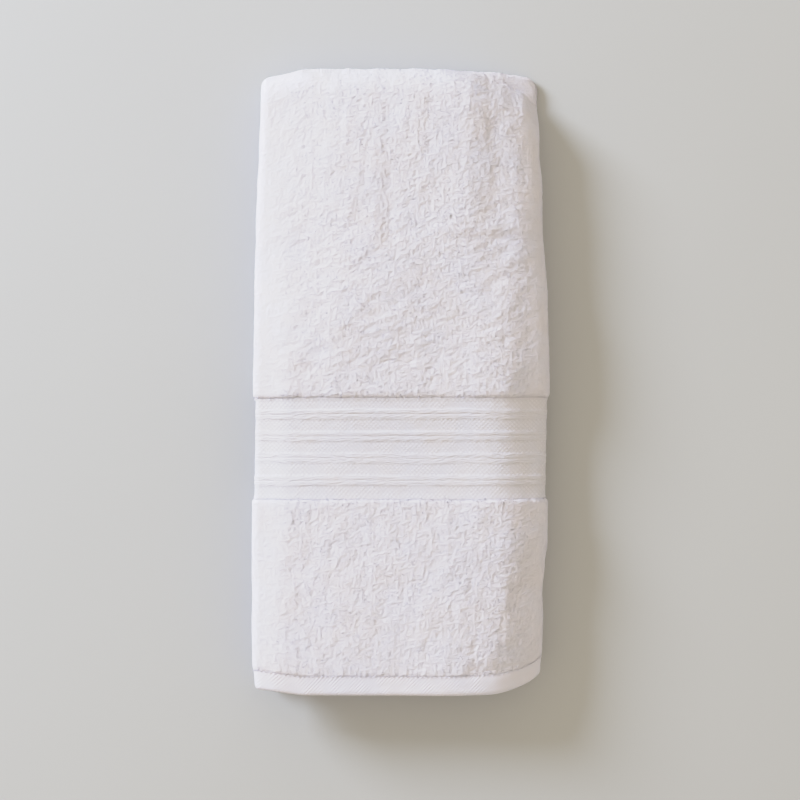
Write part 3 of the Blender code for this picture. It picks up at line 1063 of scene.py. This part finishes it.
def loop_rows(tree, given):
    """Height of short rows of loops, some across the cloth and some along it, from a place in millimetres."""
    x, y, z = split(tree, given["Place"])
    slanted = joined(tree, x, maths(tree, "MULTIPLY_ADD", x, ROWS_SLANT, y))
    rows = []
    for place, per_mm in ((slanted, LONG_ROWS_PER_MM), (given["Place"], TALL_ROWS_PER_MM)):
        stretched = put(tree, "ShaderNodeVectorMath", {0: place, 1: per_mm}, operation="MULTIPLY")
        rows.append(noise(tree, stretched.outputs[0], 1.0, 0.0))
    return maths(tree, "SMOOTH_MAX", *rows, ROWS_BLEND)


def thread_weave(tree, given):
    """Height of a plain weave of fine threads, from a place in millimetres."""
    waves = []
    for axis in ("U", "V"):
        turns = times(tree, given[axis], given["Threads per mm"], pi)
        waves.append(maths(tree, "SINE", turns))
    return maths(tree, "MULTIPLY_ADD", times(tree, *waves), 0.5, 0.5)


def slanting_floats(tree, given):
    """Height of slanting floats, from a place in millimetres: 0 in the groove and 1 on the float."""
    slanted = maths(tree, "MULTIPLY_ADD", given["V"], given["Slant"], given["U"])
    turns = maths(tree, "DIVIDE", slanted, given["Pitch"])
    wave = maths(tree, "ABSOLUTE", maths(tree, "SINE", times(tree, turns, pi)))
    return maths(tree, "SQRT", wave)


def worn_patches(tree, given):
    """Share of a weave's height that is left, down to the least in patches, from a place in millimetres."""
    patches = noise(tree, joined(tree, given["U"], given["V"]), given["Patches per mm"])
    return eased(tree, patches, 0.35, given["Whole from"], given["Least"], 1.0)


# ---- materials ----

PLAIN_COTTON = (0.736, 0.715, 0.794)
BAND_COTTON = (0.738, 0.722, 0.795)
# The hem's cotton is lighter and bluer than the pile's: painted light that makes up for the shade on the
# hem's downward slope and for the warm fill that reaches it.
HEM_COTTON_PAINTED_LIGHTER = (0.80, 0.785, 0.885)

# How far light spreads inside the pile, the flat weaves and the sewing thread
LOOP_SOFTNESS = 2.2
WEAVE_SOFTNESS = 0.4
THREAD_SOFTNESS = 0.3

DIAMOND_PITCH = 2.7
WRAP_PITCH = 0.8
TWILL_PITCH = 2.3


def cotton(name, roughness, soft):
    """(material, its node tree, its shader); soft is how far light spreads inside, in millimetres."""
    material = bpy.data.materials.new(name)
    material.use_nodes = True
    shader = material.node_tree.nodes["Principled BSDF"]
    shader.inputs["Roughness"].default_value = roughness
    shader.subsurface_method = "BURLEY"
    shader.inputs["Subsurface Weight"].default_value = 1
    shader.inputs["Subsurface Radius"].default_value = (1, 1, 1)
    shader.inputs["Subsurface Scale"].default_value = soft * MM
    shader.inputs["Sheen Weight"].default_value = 0.05
    return material, material.node_tree, shader


def set_bump(tree, shader, layers):
    """Bump nodes one on another; each layer is (height, depth in millimetres)."""
    normal = None
    for height, depth in layers:
        inputs = {"Height": height, "Distance": depth * MM, "Strength": 1.0}
        if normal:
            inputs["Normal"] = normal
        normal = put(tree, "ShaderNodeBump", inputs).outputs[0]
    tree.links.new(normal, shader.inputs["Normal"])


# Base colour from the cotton colour, lighter or darker with the thread value by this spread; where that value
# is a height, this paints shade into the low parts.
def shade(tree, shader, groups, colour, thread, spread):
    inputs = {"Cotton": (*colour, 1), "Thread": thread, "Spread": spread}
    tree.links.new(use_group(tree, groups["shade"], inputs), shader.inputs["Base Color"])


def fibres(tree, groups, fineness):
    return use_group(tree, groups["fibres"], {"Fineness": fineness})


def yarn_material(groups, name, roughness, soft, turns_per_mm, twist_depth, lint_depth):
    """Two-ply yarn; a lint depth of 0 leaves the lint out."""
    material, tree, shader = cotton(name, roughness, soft)
    around, along, z = split(tree, mapped(tree, "yarn"))
    shade(tree, shader, groups, PLAIN_COTTON, use_group(tree, groups["each"], {"Around": around}), 0.05)
    turning = {"Around": around, "Along": along, "Turns per mm": turns_per_mm}
    layers = [(use_group(tree, groups["twist"], turning), twist_depth)]
    if lint_depth:
        layers.append((fibres(tree, groups, 5000.0), lint_depth))
    set_bump(tree, shader, layers)
    return material


def bulk_material(groups, name, uv_map, to_mm):
    """The pile between and under the loops: the same yarn, curled close and in rows."""
    material, tree, shader = cotton(name, 0.95, LOOP_SOFTNESS)
    place = scaled(tree, mapped(tree, uv_map), to_mm)
    curls = use_group(tree, groups["curls"], {"Place": place, "Curls per mm": 0.42})
    # The colour is a little darker where the curls are low: painted shade between them.
    shade(tree, shader, groups, PLAIN_COTTON, curls, 0.035)
    rows = use_group(tree, groups["rows"], {"Place": place})
    across = split(tree, place)[0]
    face_end = OUTER_LEFT + FACE_WIDTH
    rougher = eased(tree, across, OUTER_LEFT - 20, OUTER_LEFT + 100, 0.7, 1.0)
    smoother = eased(tree, across, face_end - 6, face_end + 6, 1.0, 0.5)
    uneven = times(tree, rougher, smoother, rows)
    set_bump(tree, shader, [(uneven, 0.8), (curls, 0.04), (fibres(tree, groups, 4000.0), 0.02)])
    return material


def cloth_place(tree):
    """(across, along, distance from the nearer hem) of the flat cloth, in millimetres."""
    across, along, z = split(tree, scaled(tree, mapped(tree, "cloth"), 1000.0))
    return across, along, maths(tree, "MINIMUM", along, maths(tree, "SUBTRACT", LOWER_END, along))


def slanting(tree, groups, across, along, slant, pitch):
    inputs = {"U": across, "V": along, "Slant": slant, "Pitch": pitch}
    return use_group(tree, groups["floats"], inputs)


def worn(tree, groups, across, along, per_mm, whole_from, least):
    inputs = {"U": across, "V": along, "Patches per mm": per_mm, "Whole from": whole_from, "Least": least}
    return use_group(tree, groups["worn"], inputs)


def ground_layers(tree, groups, across, along):
    """Bump of the plain ground that the band and the hem have in common."""
    weave = use_group(tree, groups["weave"], {"U": across, "V": along, "Threads per mm": 1.8})
    return [(weave, 0.05), (fibres(tree, groups, 5000.0), 0.04)]


def band_material(groups):
    """Strips of bird's-eye weave between pairs of ribbed cords."""
    material, tree, shader = cotton("band_weave", 0.9, WEAVE_SOFTNESS)
    across, along, from_hem = cloth_place(tree)
    past_rib = maths(tree, "SUBTRACT", from_hem, FIRST_RIB)
    in_repeat = times(tree, maths(tree, "FRACT", maths(tree, "DIVIDE", past_rib, RIB_PITCH)), RIB_PITCH)
    after_first = maths(tree, "GREATER_THAN", past_rib, 0.0)
    cords = times(tree, maths(tree, "LESS_THAN", in_repeat, RIB_WIDTH), after_first)
    strips = maths(tree, "SUBTRACT", 1.0, cords)
    leaning = [slanting(tree, groups, across, along, slant, DIAMOND_PITCH) for slant in (1.0, -1.0)]
    clear = worn(tree, groups, across, along, 0.16, 0.6, 0.25)
    diamonds = times(tree, *leaning, strips, clear)
    stretched = joined(tree, times(tree, across, 0.3), along)
    floats = times(tree, noise(tree, stretched, 0.9), cords)
    wrapped = times(tree, slanting(tree, groups, across, along, 0.4, WRAP_PITCH), cords)
    # The colour is darker where the weave is low: painted shade in the pits between the diamonds and between
    # the floats on the cords, and a little darker also where the diamonds fade in patches.
    shade(tree, shader, groups, BAND_COTTON, maths(tree, "MULTIPLY_ADD", floats, 0.8, diamonds), 0.1)
    layers = [(diamonds, 0.24), (floats, 0.75), (wrapped, 0.06)]
    set_bump(tree, shader, layers + ground_layers(tree, groups, across, along))
    return material


def hem_material(groups):
    """The turned hem, with slanting floats that are flatter by the right fold."""
    material, tree, shader = cotton("hem_twill", 0.9, WEAVE_SOFTNESS)
    across, along = cloth_place(tree)[:2]
    clear = worn(tree, groups, across, along, 0.12, 0.65, 0.1)
    flat_by_fold = eased(tree, across, FACE_END - 35, FACE_END - 22, 1.0, 0.15)
    floats = slanting(tree, groups, across, along, -1.0, TWILL_PITCH)
    twill = times(tree, clear, flat_by_fold, floats)
    # The hem's cotton colour is painted lighter to make up for the shade on its slope. The colour also
    # follows the twill's height: darker in its grooves, which is painted shade, and a little darker where the
    # floats are flattened, in patches and by the right fold.
    shade(tree, shader, groups, HEM_COTTON_PAINTED_LIGHTER, twill, 0.08)
    set_bump(tree, shader, [(twill, 0.3)] + ground_layers(tree, groups, across, along))
    return material


def table_material():
    """Matt painted board: barely mottled, with a fine tooth."""
    material = bpy.data.materials.new("pale_table")
    material.use_nodes = True
    tree = material.node_tree
    shader = tree.nodes["Principled BSDF"]
    shader.inputs["Roughness"].default_value = 0.85
    place = object_place(tree)
    mottle = mixed(tree, noise(tree, place, 6.0), (0.557, 0.557, 0.557, 1), (0.573, 0.573, 0.573, 1))
    tree.links.new(mottle, shader.inputs["Base Color"])
    set_bump(tree, shader, [(noise(tree, place, 1500.0), 0.02)])
    return material


def make_floor():
    bpy.ops.mesh.primitive_plane_add(size=8)
    floor = bpy.context.object
    floor.name = "floor"
    floor.data.materials.append(table_material())


# ---- light and camera ----

# The picture's size in pixels, the millimetres that one covers on the towel, and the level it is taken at
PICTURE_WIDTH = 800
PIXEL = 0.625
VIEW_LEVEL = 20
CAMERA_OFFSET_X = -1.0 * PIXEL
CAMERA_OFFSET_Y = -19.75 * PIXEL
CAMERA_LENS = 100
SENSOR = 36

# Each light: its name, the direction it is in, its distance and width in metres, its power, its colour
LIGHTS = [
    ("window", (-0.905, 0.63, 0.49), 2.6, 1.0, 85, (0.69, 0.79, 0.97)),
    ("ceiling", (0, 0, 1), 3.0, 2.5, 3.4, (1.0, 0.93, 0.8)),
    ("far_wall", (1, -0.1, 0.27), 3.0, 2.5, 2.7, (0.5, 0.75, 1.0)),
]
ROOM_COLOUR = (1.0, 0.905, 0.735, 1)
ROOM_LIGHT = 0.655

# Bright whites are held back, as in a soft studio picture: (light in the scene, light in the picture)
HELD_BACK = [(0.3, 0.3), (0.5, 0.5), (0.65, 0.65), (0.8, 0.755), (1.0, 0.82), (1.25, 0.88), (1.5, 0.92)]
BRIGHTEST = HELD_BACK[-1][0]


def make_camera():
    data = bpy.data.cameras.new("camera")
    data.lens = CAMERA_LENS
    data.sensor_width = SENSOR
    data.clip_end = 20
    camera = bpy.data.objects.new("camera", data)
    bpy.context.scene.collection.objects.link(camera)
    distance = PICTURE_WIDTH * PIXEL * CAMERA_LENS / SENSOR
    camera.location = Vector((CAMERA_OFFSET_X, CAMERA_OFFSET_Y, VIEW_LEVEL + distance)) * MM
    bpy.context.scene.camera = camera


def area_light(name, direction, distance, size, power, colour):
    data = bpy.data.lights.new(name, "AREA")
    data.shape = "DISK"
    data.size = size
    data.energy = power
    data.color = colour
    light = bpy.data.objects.new(name, data)
    bpy.context.scene.collection.objects.link(light)
    light.location = Vector(direction).normalized() * distance
    light.rotation_euler = Vector(direction).to_track_quat("Z", "Y").to_euler()
    return light


def make_light():
    world = bpy.data.worlds.new("studio")
    bpy.context.scene.world = world
    world.use_nodes = True
    background = world.node_tree.nodes["Background"]
    background.inputs["Color"].default_value = ROOM_COLOUR
    background.inputs["Strength"].default_value = ROOM_LIGHT
    for light in LIGHTS:
        area_light(*light)


def set_tones():
    """The curve that holds bright whites back."""
    view = bpy.context.scene.view_settings
    view.view_transform = "Standard"
    view.use_curve_mapping = True
    tones = view.curve_mapping
    tones.white_level = (BRIGHTEST, BRIGHTEST, BRIGHTEST)
    points = tones.curves[3].points
    points[0].location = (0, 0)
    points[1].location = (1, HELD_BACK[-1][1])
    for scene_light, picture_light in HELD_BACK[:-1]:
        points.new(scene_light / BRIGHTEST, picture_light)
    tones.update()


# ---- the towel ----

rng = np.random.default_rng(11)
on_cloth = {"U": FLOAT, "V": FLOAT}
groups = {
    "shade": new_group(cotton_shade, {"Cotton": COLOUR, "Thread": FLOAT, "Spread": FLOAT}, "Colour", COLOUR),
    "fibres": new_group(loose_fibres, {"Fineness": FLOAT}),
    "each": new_group(each_yarn, {"Around": FLOAT}, "Chance"),
    "twist": new_group(yarn_twist, {"Around": FLOAT, "Along": FLOAT, "Turns per mm": FLOAT}),
    "curls": new_group(yarn_curls, {"Place": VECTOR, "Curls per mm": FLOAT}),
    "rows": new_group(loop_rows, {"Place": VECTOR}),
    "weave": new_group(thread_weave, {**on_cloth, "Threads per mm": FLOAT}),
    "floats": new_group(slanting_floats, {**on_cloth, "Slant": FLOAT, "Pitch": FLOAT}),
    "worn": new_group(
        worn_patches, {**on_cloth, "Patches per mm": FLOAT, "Whole from": FLOAT, "Least": FLOAT}, "Share"
    ),
}
terry_yarn = yarn_material(groups, "terry_yarn", 0.95, LOOP_SOFTNESS, 0.55, 0.02, 0.01)
terry_bulk = bulk_material(groups, "terry_bulk", "yarn", 1.0)
terry_ground = bulk_material(groups, "terry_ground", "cloth", 1000.0)
band_weave = band_material(groups)
hem_twill = hem_material(groups)
sewing_thread = yarn_material(groups, "sewing_thread", 0.7, THREAD_SOFTNESS, 1.2, 0.05, 0)

cloth = make_cloth([terry_ground, band_weave, hem_twill])
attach(cloth, "root")
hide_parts("towel")
# (name, first and last distance from the upper hem, pitch of its lines and of its rows of loops, the loops'
# size, whether it has the soft surface)
PILES = [
    ("pile_front", HEM_WIDTH, BAND_START, 1.8, 1.9, 1.0, True),
    ("pile_back", BAND_END, TURN_JOIN, 1.9, 2.0, 1.0, True),
    ("pile_turn", TURN_JOIN, TURN_END, 1.9, 2.0, 1.0, True),
    ("pile_under_back", TURN_END, LOWER_END - BAND_END, 3.2, 3.5, 1.6, False),
    ("pile_under_front", LOWER_END - BAND_START, LOWER_END - HEM_WIDTH, 3.2, 3.5, 1.6, False),
]
for name, first, last, line_pitch, row_pitch, size, with_surface in PILES:
    pile = make_pile(
        name, first, last, line_pitch, row_pitch, size, rng, [terry_yarn, terry_bulk], with_surface
    )
    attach(pile, "root")

stitches = make_stitches("hem_stitches", rng, sewing_thread)
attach(stitches, "root")

make_floor()
make_camera()
make_light()
set_tones()

bpy.context.view_layer.update()
